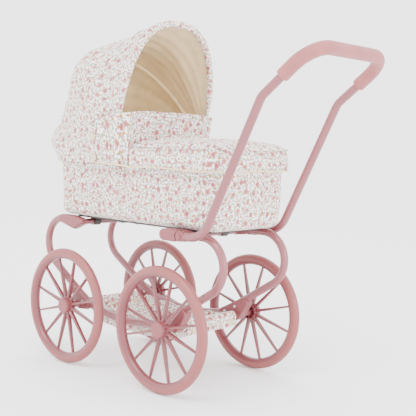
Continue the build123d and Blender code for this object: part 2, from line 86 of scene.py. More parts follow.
# ---------------------------------------------------------------- materials
class Shader:
    """A material's node tree, built by short calls."""

    def __init__(self, name):
        self.mat = bpy.data.materials.new(name)
        self.mat.use_nodes = True
        self.tree = self.mat.node_tree
        self.bsdf = self.tree.nodes["Principled BSDF"]

    def node(self, kind, **settings):
        n = self.tree.nodes.new(kind)
        for key, value in settings.items():
            setattr(n, key, value)
        return n

    def put(self, value, socket):
        if isinstance(value, bpy.types.NodeSocket):
            self.tree.links.new(value, socket)
        else:
            socket.default_value = value

    def math(self, op, a, b=0.0):
        n = self.node("ShaderNodeMath", operation=op)
        self.put(a, n.inputs[0])
        self.put(b, n.inputs[1])
        return n.outputs[0]

    def vector(self, op, a, b=(0, 0, 0)):
        n = self.node("ShaderNodeVectorMath", operation=op)
        self.put(a, n.inputs[0])
        self.put(b, n.inputs[1])
        return n.outputs[1] if op == "LENGTH" else n.outputs[0]

    def scaled(self, a, factor):
        n = self.node("ShaderNodeVectorMath", operation="SCALE")
        self.put(a, n.inputs[0])
        n.inputs["Scale"].default_value = factor
        return n.outputs[0]

    def fade(self, value, low, high, out_low=0.0, out_high=1.0):
        n = self.node("ShaderNodeMapRange", interpolation_type="SMOOTHSTEP")
        for socket, v in zip(n.inputs[:5], (value, low, high, out_low, out_high)):
            self.put(v, socket)
        return n.outputs[0]

    def mix(self, factor, a, b):
        n = self.node("ShaderNodeMix", data_type="RGBA")
        self.put(factor, n.inputs[0])
        self.put(a, n.inputs[6])
        self.put(b, n.inputs[7])
        return n.outputs[2]

    def noise(self, coords, scale, detail=2.0):
        n = self.node("ShaderNodeTexNoise")
        self.put(coords, n.inputs["Vector"])
        n.inputs["Scale"].default_value = scale
        n.inputs["Detail"].default_value = detail
        return n.outputs["Fac"]

    def coords(self, which):
        return self.node("ShaderNodeTexCoord").outputs[which]

    def bump(self, height, strength, distance):
        n = self.node("ShaderNodeBump")
        self.put(height, n.inputs["Height"])
        n.inputs["Strength"].default_value = strength
        n.inputs["Distance"].default_value = distance
        self.put(n.outputs[0], self.bsdf.inputs["Normal"])

    def set(self, **inputs):
        for key, value in inputs.items():
            self.put(value, self.bsdf.inputs[key.replace("_", " ")])


def rgb(r, g, b):
    """Linear colour from display values out of 255."""
    lin = [(v / 255 / 12.92 if v < 10.3 else ((v / 255 + 0.055) / 1.055) ** 2.4) for v in (r, g, b)]
    return (*lin, 1.0)


def hard(name, colour, rough, metallic=0.0, coat=0.0, grain=900.0, grain_depth=0.1, wear=0.06):
    """Paint, moulding or metal: slight mottling in colour and gloss and a fine surface grain."""
    s = Shader(name)
    p = s.coords("Object")
    cloudy = s.noise(p, 18.0, 3.0)
    darker = tuple(c * (1 - wear * 2) for c in colour[:3]) + (1.0,)
    s.set(Base_Color=s.mix(s.fade(cloudy, 0.3, 0.75), darker, colour), Metallic=metallic,
          Roughness=s.fade(s.noise(p, 60.0, 3.0), 0.25, 0.8, rough * 0.85, rough * 1.15),
          Coat_Weight=coat, Coat_Roughness=0.25)
    s.bump(s.noise(p, grain, 2.0), 0.25, grain_depth * MM)
    return s.mat


def weave(s, uv, pitch):
    """Height of a plain weave, threads one pitch apart."""
    sep = s.node("ShaderNodeSeparateXYZ")
    s.put(s.scaled(uv, 2 * pi / pitch), sep.inputs[0])
    across, along = s.math("SINE", sep.outputs[0]), s.math("SINE", sep.outputs[1])
    return s.math("MULTIPLY", across, along)


def blossom(s, uv, cell, size, petals, offset, depth=0.3):
    """Scattered flowers: mask, distance from the flower's middle in flower radii, and a random value."""
    v = s.vector("ADD", s.scaled(uv, 1 / cell), (offset, offset * 1.7, 0))
    cells = s.node("ShaderNodeTexVoronoi", voronoi_dimensions="2D")
    s.put(v, cells.inputs["Vector"])
    cells.inputs["Scale"].default_value = 1.0
    cells.inputs["Randomness"].default_value = 0.78
    local = s.vector("SUBTRACT", v, cells.outputs["Position"])
    sep = s.node("ShaderNodeSeparateXYZ")
    s.put(local, sep.inputs[0])
    tint = s.node("ShaderNodeSeparateXYZ")
    s.put(cells.outputs["Color"], tint.inputs[0])
    turn = s.math("MULTIPLY", tint.outputs[0], 6.28)
    angle = s.math("ADD", s.math("ARCTAN2", sep.outputs[1], sep.outputs[0]), turn)
    lobe = s.math("SQRT", s.math("ABSOLUTE", s.math("COSINE", s.math("MULTIPLY", angle, petals / 2))))
    edge = s.math("MULTIPLY", s.math("ADD", s.math("MULTIPLY", lobe, depth), 1 - depth), size / cell)
    edge = s.math("MULTIPLY", edge, s.fade(tint.outputs[2], 0.0, 1.0, 0.75, 1.1))
    r = s.vector("LENGTH", local)
    share = s.math("DIVIDE", r, edge)
    return s.fade(share, 0.86, 1.04, 1.0, 0.0), share, tint.outputs[1]


def sprig(s, uv, cell, length, width, offset):
    """Mask of scattered narrow leaves."""
    v = s.vector("ADD", s.scaled(uv, 1 / cell), (offset * 2.3, offset, 0))
    cells = s.node("ShaderNodeTexVoronoi", voronoi_dimensions="2D")
    s.put(v, cells.inputs["Vector"])
    cells.inputs["Scale"].default_value = 1.0
    cells.inputs["Randomness"].default_value = 0.9
    rotate = s.node("ShaderNodeVectorRotate", rotation_type="Z_AXIS")
    s.put(s.vector("SUBTRACT", v, cells.outputs["Position"]), rotate.inputs["Vector"])
    tint = s.node("ShaderNodeSeparateXYZ")
    s.put(cells.outputs["Color"], tint.inputs[0])
    s.put(s.math("MULTIPLY", tint.outputs[0], 6.28), rotate.inputs["Angle"])
    squeezed = s.vector("MULTIPLY", rotate.outputs[0], (cell / length, cell / width, 0))
    return s.fade(s.vector("LENGTH", squeezed), 0.8, 1.05, 1.0, 0.0)


def floral(name):
    s = Shader(name)
    uv = s.coords("UV")
    wobble = s.node("ShaderNodeTexNoise")
    s.put(uv, wobble.inputs["Vector"])
    wobble.inputs["Scale"].default_value = 420.0
    shift = s.scaled(s.vector("SUBTRACT", wobble.outputs["Color"], (0.5, 0.5, 0.5)), 0.00045)
    hand = s.vector("ADD", uv, shift)
    ground = s.mix(s.fade(s.noise(uv, 40.0), 0.3, 0.7), rgb(244, 241, 240), rgb(251, 249, 248))
    colour = ground
    for cell, length, width, offset, tone in ((0.0047, 0.0021, 0.0009, 3.1, (92, 108, 84)),
                                              (0.0056, 0.0018, 0.0009, 7.7, (112, 124, 98)),
                                              (0.0068, 0.0032, 0.0006, 11.9, (88, 96, 78))):
        leaf = sprig(s, hand, cell, length, width, offset)
        colour = s.mix(s.math("MULTIPLY", leaf, 0.85), colour, rgb(*tone))
    pale, share, pick = blossom(s, hand, 0.0100, 0.0025, 5, 1.3)
    petal = s.mix(s.fade(pick, 0.35, 0.6), rgb(206, 148, 148), rgb(222, 184, 180))
    petal = s.mix(s.fade(share, 0.22, 0.38, 1.0, 0.0), petal, rgb(168, 104, 84))
    colour = s.mix(pale, colour, petal)
    bud, share, pick = blossom(s, hand, 0.0086, 0.0020, 4, 9.2, 0.12)
    colour = s.mix(bud, colour, s.mix(s.fade(pick, 0.7, 0.8), rgb(184, 128, 62), rgb(176, 104, 106)))
    rose, share, pick = blossom(s, hand, 0.0168, 0.0042, 5, 5.9, 0.3)
    petal = s.mix(s.fade(pick, 0.25, 0.75), rgb(164, 84, 90), rgb(188, 114, 116))
    petal = s.mix(s.fade(share, 0.2, 0.3, 1.0, 0.0), petal, rgb(138, 66, 60))
    colour = s.mix(rose, colour, petal)
    threads = weave(s, uv, 0.0011)
    # Painted shade between the threads: where the weave height is low the print is darkened by up to 4.5%.
    painted_thread_shade = s.fade(threads, -1.0, 1.0, 0.955, 1.0)
    dim = s.node("ShaderNodeMix", data_type="RGBA", blend_type="MULTIPLY")
    dim.inputs[0].default_value = 1.0
    s.put(colour, dim.inputs[6])
    s.put(painted_thread_shade, dim.inputs[7])
    s.set(Base_Color=dim.outputs[2], Roughness=s.fade(s.noise(uv, 500.0), 0.3, 0.7, 0.84, 0.94),
          Sheen_Weight=0.25, Sheen_Roughness=0.5)
    crease = s.math("ADD", s.math("MULTIPLY", threads, 0.12), s.math("MULTIPLY", s.noise(uv, 55.0, 4.0), 1.6))
    s.bump(crease, 0.5, 0.9 * MM)
    return s.mat


def plain_cloth(name, colour, pitch=0.0012, depth=1.4):
    s = Shader(name)
    uv = s.coords("UV")
    threads = weave(s, uv, pitch)
    darker = tuple(c * 0.86 for c in colour[:3]) + (1.0,)
    # Colour: random tone from noise, plus painted shade between the threads where the weave height is low.
    tone = s.math("ADD", s.math("MULTIPLY", threads, 0.14), s.noise(uv, 70.0, 4.0))
    s.set(Base_Color=s.mix(s.fade(tone, 0.25, 0.75), darker, colour),
          Roughness=s.fade(s.noise(uv, 400.0), 0.3, 0.7, 0.82, 0.94),
          Sheen_Weight=0.3, Sheen_Roughness=0.5)
    crease = s.math("ADD", s.math("MULTIPLY", threads, 0.14), s.math("MULTIPLY", s.noise(uv, 45.0, 3.0), depth))
    s.bump(crease, 0.5, 0.9 * MM)
    return s.mat


def foam(name, colour):
    s = Shader(name)
    p = s.coords("Object")
    cells = s.node("ShaderNodeTexVoronoi", feature="DISTANCE_TO_EDGE")
    s.put(p, cells.inputs["Vector"])
    cells.inputs["Scale"].default_value = 1400.0
    darker = tuple(c * 0.88 for c in colour[:3]) + (1.0,)
    s.set(Base_Color=s.mix(s.fade(s.noise(p, 30.0, 3.0), 0.3, 0.7), darker, colour),
          Roughness=s.fade(s.noise(p, 200.0), 0.3, 0.7, 0.8, 0.95), Sheen_Weight=0.2)
    pores = s.math("ADD", cells.outputs["Distance"], s.math("MULTIPLY", s.noise(p, 120.0), 0.3))
    s.bump(pores, 0.2, 0.06 * MM)
    return s.mat


looks = {
    "frame_paint": hard("frame_paint", rgb(136, 71, 76), 0.32, coat=0.5,
                        grain=1500.0, grain_depth=0.006, wear=0.03),
    "wheel_plastic": hard("wheel_plastic", rgb(122, 57, 62), 0.36, coat=0.3,
                          grain_depth=0.01, wear=0.03),
    "tyre_soft": hard("tyre_soft", rgb(140, 72, 71), 0.5, coat=0.15,
                      grain=1100.0, grain_depth=0.02, wear=0.03),
    "trim_plastic": hard("trim_plastic", rgb(134, 70, 74), 0.42,
                         grain=1600.0, grain_depth=0.01, wear=0.03),
    "grip_foam": foam("grip_foam", rgb(162, 94, 94)),
    "bright_steel": hard("bright_steel", rgb(205, 205, 208), 0.28, metallic=1.0,
                         grain=2200.0, grain_depth=0.04),
    "dark_plastic": hard("dark_plastic", rgb(58, 50, 50), 0.5, grain=1300.0, grain_depth=0.08),
    "floral_fabric": floral("floral_fabric"),
    "lining_fabric": plain_cloth("lining_fabric", rgb(238, 214, 168)),
    "hoop_wire": hard("hoop_wire", rgb(222, 212, 196), 0.4, coat=0.3, grain=1500.0),
    "snap_cream": hard("snap_cream", rgb(224, 200, 168), 0.32, coat=0.3,
                       grain=1800.0, grain_depth=0.03),
}

for part in record["subparts"]:
    mesh = nodes[part["node"]].data
    mesh.materials.clear()
    mesh.materials.append(looks[part["material_slot"]])


# ---------------------------------------------------------------- mesh building
def mesh_object(name, verts, faces, uvs=None, materials=("floral_fabric",)):
    mesh = bpy.data.meshes.new(name)
    mesh.from_pydata([tuple(v) for v in verts], [], [tuple(f) for f in faces])
    if uvs is not None:
        layer = mesh.uv_layers.new(name="UVMap")
        layer.data.foreach_set("uv", np.array(uvs, np.float32).ravel())
    mesh.polygons.foreach_set("use_smooth", [True] * len(mesh.polygons))
    for m in materials:
        mesh.materials.append(looks[m] if isinstance(m, str) else m)
    obj = bpy.data.objects.new(name, mesh)
    bpy.context.scene.collection.objects.link(obj)
    return obj


def surface(name, grid, ring=False, materials=("floral_fabric",)):
    """Mesh over a grid of points (rows, columns, 3) in metres, with UVs in metres.

    ring joins the last column to the first.
    """
    g = np.asarray(grid, float)
    m, n = g.shape[:2]
    closed = np.concatenate([g, g[:, :1]], axis=1) if ring else g
    mid_row, mid_col = closed[m // 2], closed[:, n // 2]
    u = np.concatenate([[0], np.cumsum(np.linalg.norm(np.diff(mid_row, axis=0), axis=1))])
    v = np.concatenate([[0], np.cumsum(np.linalg.norm(np.diff(mid_col, axis=0), axis=1))])
    faces, uvs = [], []
    for i in range(m - 1):
        for j in range(n if ring else n - 1):
            k = (j + 1) % n
            faces.append((i * n + j, i * n + k, (i + 1) * n + k, (i + 1) * n + j))
            uvs += [(u[j], v[i]), (u[j + 1], v[i]), (u[j + 1], v[i + 1]), (u[j], v[i + 1])]
    return mesh_object(name, g.reshape(-1, 3), faces, uvs, materials)


def tube(name, path, radius, material, sides=14):
    """Round piece along a path of points; radius is a number or one value per point. Its ends are closed."""
    p = np.asarray(path, float)
    r = np.broadcast_to(radius, len(p)).astype(float)
    tangent = np.gradient(p, axis=0)
    tangent /= np.linalg.norm(tangent, axis=1)[:, None]
    side = np.cross(tangent[0], (0.1, 0.2, 1.0))
    rows = []
    for i, t in enumerate(tangent):
        side = side - t * (side @ t)
        side /= np.linalg.norm(side)
        up = np.cross(t, side)
        a = np.arange(sides) * 2 * pi / sides
        rows.append(p[i] + r[i] * (np.outer(np.cos(a), side) + np.outer(np.sin(a), up)))
    rows = [np.repeat(p[:1], sides, 0)] + rows + [np.repeat(p[-1:], sides, 0)]
    obj = surface(name, rows, ring=True, materials=(material,))
    weld(obj)
    return obj


def weld(obj, distance=1e-5):
    bm = bmesh.new()
    bm.from_mesh(obj.data)
    bmesh.ops.remove_doubles(bm, verts=bm.verts, dist=distance)
    bmesh.ops.recalc_face_normals(bm, faces=bm.faces)
    bm.to_mesh(obj.data)
    bm.free()


def bake(obj):
    """The object's modifiers become its mesh."""
    bpy.context.view_layer.update()
    final = bpy.data.meshes.new_from_object(obj.evaluated_get(bpy.context.evaluated_depsgraph_get()))
    obj.modifiers.clear()
    obj.data = final
    return obj


def thicken(obj, thickness, inner_slot=0, offset=-1.0):
    m = obj.modifiers.new("thickness", "SOLIDIFY")
    m.thickness, m.offset, m.material_offset = thickness, offset, inner_slot
    return bake(obj)


def point_verts(obj):
    co = np.empty(len(obj.data.vertices) * 3)
    obj.data.vertices.foreach_get("co", co)
    return co.reshape(-1, 3)


def set_verts(obj, co):
    obj.data.vertices.foreach_set("co", np.asarray(co, float).ravel())
    obj.data.update()


def box_uv(obj):
    """UVs in metres, each face laid out flat along the axis it faces."""
    mesh = obj.data
    layer = mesh.uv_layers.get("UVMap") or mesh.uv_layers.new(name="UVMap")
    for f in mesh.polygons:
        n = f.normal
        a = max(range(3), key=lambda k: abs(n[k]) * (1.15 if k == 2 else 1.0))
        x, y = ((1, 2), (0, 2), (0, 1))[a]
        for li in f.loop_indices:
            c = mesh.vertices[mesh.loops[li].vertex_index].co
            layer.data[li].uv = (c[x], c[y])


def inflate(obj, held, cap):
    """Swells the mesh as cloth under pressure with the held points fixed, no point moving further than cap."""
    start = point_verts(obj)
    group = obj.vertex_groups.new(name="held")
    group.add([int(i) for i in np.nonzero(held)[0]], 1.0, "REPLACE")
    cloth = obj.modifiers.new("cloth", "CLOTH")
    cloth.settings.use_pressure = True
    cloth.settings.uniform_pressure_force = 4.0
    cloth.settings.vertex_group_mass = "held"
    cloth.settings.effector_weights.gravity = 0.0
    cloth.settings.quality = 5
    cloth.point_cache.frame_start, cloth.point_cache.frame_end = 1, 20
    for f in range(1, 21):
        bpy.context.scene.frame_set(f)
    bake(obj)
    bpy.context.scene.frame_set(1)
    moved = point_verts(obj) - start
    far = np.linalg.norm(moved, axis=1)[:, None]
    set_verts(obj, start + moved * np.minimum(1, cap / np.maximum(far, 1e-9)))


def stuffed(node, name, shrink, cap, pinned, material, voxel=5 * MM):
    """A padded piece: the CAD solid remeshed and inflated as cloth; pinned(points) marks what stays put."""
    src = nodes[node]
    obj = bpy.data.objects.new(name, src.data.copy())
    bpy.context.scene.collection.objects.link(obj)
    lo, hi = span(node)
    mid = np.array((lo + hi) / 2)
    half = np.array((hi - lo) / 2)
    co = point_verts(obj)
    held = pinned(co)
    co[~held] = mid + (co[~held] - mid) * (1 - shrink / half)
    set_verts(obj, co)
    m = obj.modifiers.new("remesh", "REMESH")
    m.mode, m.voxel_size = "VOXEL", voxel
    bake(obj)
    inflate(obj, pinned(point_verts(obj)), cap)
    smooth = obj.modifiers.new("smooth", "SMOOTH")
    smooth.iterations = 4
    sub = obj.modifiers.new("sub", "SUBSURF")
    sub.levels = sub.render_levels = 1
    bake(obj)
    obj.data.materials.clear()
    obj.data.materials.append(looks[material])
    obj.data.polygons.foreach_set("use_smooth", [True] * len(obj.data.polygons))
    box_uv(obj)
    return obj


def islands(node):
    """(low, high) corners of each separate solid in a CAD node."""
    bm = bmesh.new()
    bm.from_mesh(nodes[node].data)
    bmesh.ops.remove_doubles(bm, verts=bm.verts, dist=1e-6)
    left, found = set(bm.verts), []
    while left:
        stack = [left.pop()]
        seen = [stack[0].co.copy()]
        while stack:
            for e in stack.pop().link_edges:
                for v in e.verts:
                    if v in left:
                        left.remove(v)
                        stack.append(v)
                        seen.append(v.co.copy())
        c = np.array(seen)
        found.append((c.min(0), c.max(0)))
    bm.free()
    return sorted(found, key=lambda b: tuple(np.round(b[0], 4)))


def turned_pieces(name, node, profile, outward, material, sides=40):
    """A lathe-turned detail on each solid of a CAD node.

    profile is (share of radius, share of depth); outward(middle) points away from the seat.
    """
    verts, faces, uvs = [], [], []
    for lo, hi in islands(node):
        mid, size = (lo + hi) / 2, hi - lo
        out = np.array(outward(mid), float)
        depth = abs(size @ out)
        r = max(size[k] for k in range(3) if abs(out[k]) < 0.5) / 2
        side = np.cross(out, (0.3, 0.5, 0.8))
        side /= np.linalg.norm(side)
        up = np.cross(out, side)
        base = len(verts)
        for pr, ph in profile:
            for k in range(sides):
                a = 2 * pi * k / sides
                verts.append(mid + out * (ph - 0.5) * depth + pr * r * (cos(a) * side + sin(a) * up))
        for i in range(len(profile) - 1):
            for k in range(sides):
                q = (k + 1) % sides
                faces.append((base + i * sides + k, base + i * sides + q, base + (i + 1) * sides + q,
                              base + (i + 1) * sides + k))
                uvs += [(0, 0)] * 4
    obj = mesh_object(name, verts, faces, uvs, (material,))
    weld(obj, 1e-6)
    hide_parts(node)
    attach(obj, "chassis")
    return obj


# ---------------------------------------------------------------- hood canopy
# Sections of the hood lean about the hinge line, in degrees up from level at the head end.
LOW_LEAN, OPEN_LEAN, MID_LEAN = -9, 100, 50
RIM_Z = 350.6 * MM
lean = np.linspace(LOW_LEAN, OPEN_LEAN, 120)
turn = np.linspace(0, pi, 141)
reach = curve_through(lean, (-9, 0, 12, 25, 38, 50, 62, 76, 88, 100),
                      (213.7, 235.1, 209.3, 201.4, 210.0, 213.3, 199.1, 194.6, 199.6, 209.0)) * MM
half_w = curve_through(lean, (-9, 20, 50, 75, 100), (100.8, 101.5, 109.0, 107.5, 111.5)) * MM
power = curve_through(lean, (-9, 50, 75, 100), (3.93, 3.6, 2.4, 2.55))


def hood_section(theta, w, r_max, n):
    """Points of one section of the hood, from the right-hand hinge over the top to the left-hand one."""
    c, s = np.cos(turn), np.sin(turn)
    y = w * np.sign(c) * np.abs(c) ** (2 / n)
    r = r_max * np.abs(s) ** (2 / n)
    a = radians(theta)
    return np.stack([hinge.x - r * cos(a), y, hinge.z + r * sin(a)], axis=1)


grid = np.array([hood_section(t, w, r, n) for t, w, r, n in zip(lean, half_w, reach, power)])
# Soft folds that fan out from the hinges, and slack between the hoops.
theta_g, turn_g = np.meshgrid(lean, turn, indexing="ij")
slack = np.sin(turn_g) ** 0.7
fold = (1.0 * np.sin(theta_g * 0.31 + 1.9 * np.sin(turn_g * 3.1 + 0.7))
        + 0.9 * np.sin(theta_g * 0.83 + 4.0 * turn_g)
        + 0.6 * np.sin(turn_g * 17 + theta_g * 0.12) * np.sin(theta_g * 0.2 + 1)) * MM
quiet = 1 - 0.75 * np.exp(-((theta_g - MID_LEAN) / 5) ** 2) - 0.85 * np.exp(-((theta_g - OPEN_LEAN) / 7) ** 2)
hub = np.array([hinge.x, 0, hinge.z])
away = grid - hub
away[..., 1] *= 1.6
away /= np.linalg.norm(away, axis=2)[..., None]
grid = grid + away * (fold * slack * quiet - 0.8 * MM)[..., None]
# Where the windbreak wraps round it, the hood's side lies flat inside the wrap.
wrap_z, wrap_y = (350, 385, 438, 470, 500), (100.6, 101.4, 106.0, 110.6, 125)
limit = np.interp(grid[..., 2], np.array(wrap_z) * MM, np.array(wrap_y) * MM)
near_wrap = ramp(grid[..., 0], wheelbase_x - 95 * MM, wheelbase_x - 66 * MM)
pressed = np.sign(grid[..., 1]) * np.minimum(np.abs(grid[..., 1]), limit)
grid[..., 1] = grid[..., 1] * (1 - near_wrap) + pressed * near_wrap
# Below the hinge line the cloth drops straight to the rim, then tucks under.
first = grid[0]
tub_lo, tub_hi = span("bassinet_rim")
tucked = first.copy()
tucked[:, 0] = np.maximum(first[:, 0], tub_lo.x - 4 * MM)
tucked[:, 1] = np.clip(first[:, 1], tub_lo.y - 2 * MM, tub_hi.y + 2 * MM)
drop = [tucked * [1, 1, 0] + [0, 0, RIM_Z - 0.4 * MM]]
for k in np.linspace(1, 0, 9)[:-1]:
    row = first.copy()
    row[:, 2] = first[:, 2] * (1 - k) + RIM_Z * k
    drop.append(row)
grid = np.concatenate([np.array(drop), grid])
canopy = surface("canopy_cloth", grid, materials=("floral_fabric", "lining_fabric"))
weld(canopy, 1e-5)
centre = np.array([hinge.x - 60 * MM, 0, hinge.z + 60 * MM])
if sum((p.center - Vector(centre)).dot(p.normal) for p in canopy.data.polygons) < 0:
    canopy.data.flip_normals()
layer = canopy.data.uv_layers["UVMap"]
for f in canopy.data.polygons:
    side_panel = abs(f.normal.y) > 0.72 or f.center.z < 0.372
    for li in f.loop_indices:
        c = canopy.data.vertices[canopy.data.loops[li].vertex_index].co
        layer.data[li].uv = (c.x, c.z) if side_panel else (layer.data[li].uv[0], layer.data[li].uv[1] + 0.37)
thicken(canopy, 1.4 * MM, inner_slot=1)
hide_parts("hood_canopy")
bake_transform(canopy)

# Rolled hem round the opening, over the front hoop.
a = radians(OPEN_LEAN)
hem_w, hem_r = 106.6 * MM, 204.0 * MM
c, s = np.cos(turn), np.sin(turn)
hem_y = hem_w * np.sign(c) * np.abs(c) ** (2 / 2.6)
hem_reach = hem_r * np.abs(s) ** (2 / 2.6)
pull = ramp(hem_reach, 40 * MM, 110 * MM)
hem_y = hem_y * (0.965 + 0.035 * pull)
path = np.stack([hinge.x - hem_reach * cos(a), hem_y, hinge.z + hem_reach * sin(a)], axis=1)
keep = hem_reach > 42 * MM
hem = tube("hood_hem", path[keep], (3.0 + 2.7 * pull[keep]) * MM, "floral_fabric", sides=22)
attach(hem, "hood_front")


def sleeve_on(node, name, extra, body):
    """Cloth tunnel sewn round a hoop: the wire's own surface, moved out."""
    obj = bpy.data.objects.new(name, nodes[node].data.copy())
    bpy.context.scene.collection.objects.link(obj)
    weld(obj, 1e-6)
    co = point_verts(obj)
    normals = np.array([v.normal for v in obj.data.vertices])
    from_hinge = np.hypot(co[:, 0] - hinge.x, co[:, 2] - hinge.z)
    set_verts(obj, co + normals * (extra * ramp(from_hinge, 8 * MM, 30 * MM))[:, None])
    obj.data.materials.clear()
    obj.data.materials.append(looks["lining_fabric"])
    obj.data.polygons.foreach_set("use_smooth", [True] * len(obj.data.polygons))
    box_uv(obj)
    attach(obj, body)


sleeve_on("mid_hoop", "hoop_tunnel", 1.7 * MM, "hood_mid")


# ---------------------------------------------------------------- bassinet
def rounded_loop(lo, hi, rear_corner, count, front_corner=None):
    """Points round a rounded rectangle in plan, evenly spaced, with their outward directions."""
    pts = []
    for cx, cy, a0 in ((hi[0], hi[1], 0), (lo[0], hi[1], 90), (lo[0], lo[1], 180), (hi[0], lo[1], 270)):
        sx, sy = (1 if cx == hi[0] else -1), (1 if cy == hi[1] else -1)
        corner = rear_corner if front_corner is None or sx > 0 else front_corner
        for k in np.linspace(0, 90, 12):
            t = radians(a0 + k)
            pts.append((cx - sx * corner + corner * cos(t), cy - sy * corner + corner * sin(t)))
    p = np.array(pts + pts[:1])
    d = np.concatenate([[0], np.cumsum(np.linalg.norm(np.diff(p, axis=0), axis=1))])
    at = np.linspace(0, d[-1], count, endpoint=False)
    loop = np.stack([np.interp(at, d, p[:, k]) for k in range(2)], axis=1)
    t = np.roll(loop, -1, 0) - np.roll(loop, 1, 0)
    t /= np.linalg.norm(t, axis=1)[:, None]
    return loop, np.stack([t[:, 1], -t[:, 0]], axis=1), at


def waves(at, terms):
    """Sum of sines along a path, each (height in mm, pitch in m, phase)."""
    return sum(amp * np.sin(2 * pi * at / pitch + phase) for amp, pitch, phase in terms) * MM


tlo, thi = span("bassinet_tub")
flare = 4.0 * MM
loop, out, at = rounded_loop((tlo.x + flare, tlo.y + flare), (thi.x - flare, thi.y - flare), 22 * MM, 640)
height = thi.z - tlo.z
pucker = waves(at, ((0.5, 0.0173, 0.3), (0.45, 0.0111, 1.9), (0.3, 0.0071, 4.0),
                    (0.5, 0.031, 2.2), (0.35, 0.0057, 0.8)))
drift = waves(at, ((1.0, 0.083, 1.1), (0.8, 0.13, 3.0)))
wall_rows = []
for h in np.concatenate([[0.0, 0.012, 0.035, 0.07], np.linspace(0.11, 0.97, 26), [0.985, 1.0]]):
    shoulder = -11 * MM * (1 - min(1, h / 0.12)) ** 2.2          # rounded lower edge
    belly = 2.3 * MM * sin(pi * min(1, h * 1.05)) ** 0.6
    gathers = pucker * (0.25 + 1.0 * abs(2 * h - 1.05) ** 1.5) + drift * sin(pi * min(h, 1)) * 0.8
    row = loop + out * (shoulder + belly - 1.2 * MM + flare * h * 0.9 + 2.1 * MM * ramp(h, 0.9, 1.0)
                        + gathers * min(1, h * 9) * (1 - ramp(h, 0.9, 1.0)))[:, None]
    wall_rows.append(np.column_stack([row, np.full(len(row), tlo.z + height * h)]))
outside_rows = len(wall_rows) + 2
for side_step, z in ((4.7, 3.9), (3.7, 5.3), (0.8, 5.4), (-0.7, 4.4), (-0.9, 0.2)):
    row = loop + out * side_step * MM
    wall_rows.append(np.column_stack([row, np.full(len(row), thi.z + z * MM)]))
for h in (0.85, 0.6, 0.35, 0.12, 0.06):
    row = loop + out * (flare * h * 0.9 - 6.2 * MM + 0.6 * pucker[:, None])
    wall_rows.append(np.column_stack([row, np.full(len(row), tlo.z + height * h)]))
middle = np.array([(tlo.x + thi.x) / 2, (tlo.y + thi.y) / 2, 0])
base_row, floor_row = wall_rows[0].copy(), wall_rows[-1].copy()
under, floor = [], []
for k in (0.0, 0.5, 0.9):
    r = middle + (base_row - middle) * k
    r[:, 2] = tlo.z + 0.3 * MM
    under.append(r)
    r = middle + (floor_row - middle) * (0.9 - k)
    r[:, 2] = floor_row[0, 2]
    floor.append(r)
tub = surface("bassinet_shell", np.array(under + wall_rows + floor), ring=True,
              materials=("floral_fabric", "lining_fabric"))
first_lining = (len(under) + outside_rows) * len(loop)
tub.data.polygons.foreach_set("material_index", [int(p.index >= first_lining) for p in tub.data.polygons])
weld(tub, 1e-6)
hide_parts("bassinet_tub")
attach(tub, "chassis")

mattress = stuffed("mattress", "mattress_pad", 3 * MM, 5 * MM,
                   lambda p: p[:, 2] < span("mattress")[0].z + 2 * MM, "lining_fabric")
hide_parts("mattress")
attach(mattress, "chassis")

# ---------------------------------------------------------------- apron
alo, ahi = span("apron")
loop, out, at = rounded_loop((alo.x, alo.y), (ahi.x, ahi.y), 26 * MM, 176, 5 * MM)
middle = np.array([(alo.x + ahi.x) / 2, 0, 0])


def apron_row(step, z, share=1.0):
    """The apron's outline moved out by step and drawn in to a share of its size, at height z, all in mm."""
    row = np.column_stack([loop + out * step * MM, np.full(len(loop), z * MM)])
    flat = middle + (row - middle) * [share, share, 1]
    flat[:, 2] = z * MM
    return flat


below = [apron_row(-12, 371.5, k) for k in (0.0, 0.15, 0.3, 0.45, 0.6, 0.75, 0.9)]
inner_skirt = ((-12, 371), (-7, 370), (-5.8, 366), (-5.6, 360), (-5.6, 354), (-5.0, 349))
outer_skirt = ((-2.6, 347.4), (-0.9, 348.6), (-0.6, 352), (-0.3, 357), (-0.4, 362), (-0.8, 367), (-1.4, 372),
               (-2.6, 377), (-5, 381.5), (-8.5, 385.5), (-13, 388.5), (-18, 390.3))
below += [apron_row(*step) for step in inner_skirt]
above = [apron_row(*step) for step in outer_skirt]
above += [apron_row(-18, 391 + 1.2 * (1 - k), k) for k in np.linspace(0.95, 0.0, 19)]
apron = surface("apron_pad", np.array(below + above), ring=True)
weld(apron, 1e-5)
start = point_verts(apron)
inside = (np.abs(start[:, 1]) < ahi.y - 4 * MM) & (start[:, 0] < ahi.x - 4 * MM)
under = inside & (start[:, 2] < alo.z + 25.2 * MM)
held = under | (start[:, 2] < alo.z + 4 * MM) | (start[:, 0] < alo.x + 6 * MM)
inflate(apron, held, 6 * MM)
smooth = apron.modifiers.new("sub", "SUBSURF")
smooth.levels = smooth.render_levels = 1
bake(apron)
co = point_verts(apron)
top = ramp(co[:, 2], ahi.z - 14 * MM, ahi.z - 3 * MM)
ripple = (0.7 * np.sin(co[:, 0] * 95 + 2 * np.sin(co[:, 1] * 40)) * np.sin(co[:, 1] * 60 + 1)
          + 0.35 * np.sin(co[:, 0] * 210 + co[:, 1] * 130)) * MM
co[:, 2] += top * ripple
outer = (np.abs(co[:, 1]) > ahi.y - 4 * MM) | (co[:, 0] > ahi.x - 4 * MM)
skirt = outer * (1 - ramp(co[:, 2], alo.z + 16 * MM, alo.z + 34 * MM))
co[:, 1] += np.sign(co[:, 1]) * skirt * (0.7 * np.sin(co[:, 0] * 210) + 0.4 * np.sin(co[:, 0] * 430 + 1)) * MM
set_verts(apron, co)
box_uv(apron)
apron.data.polygons.foreach_set("use_smooth", [True] * len(apron.data.polygons))
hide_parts("apron")
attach(apron, "chassis")


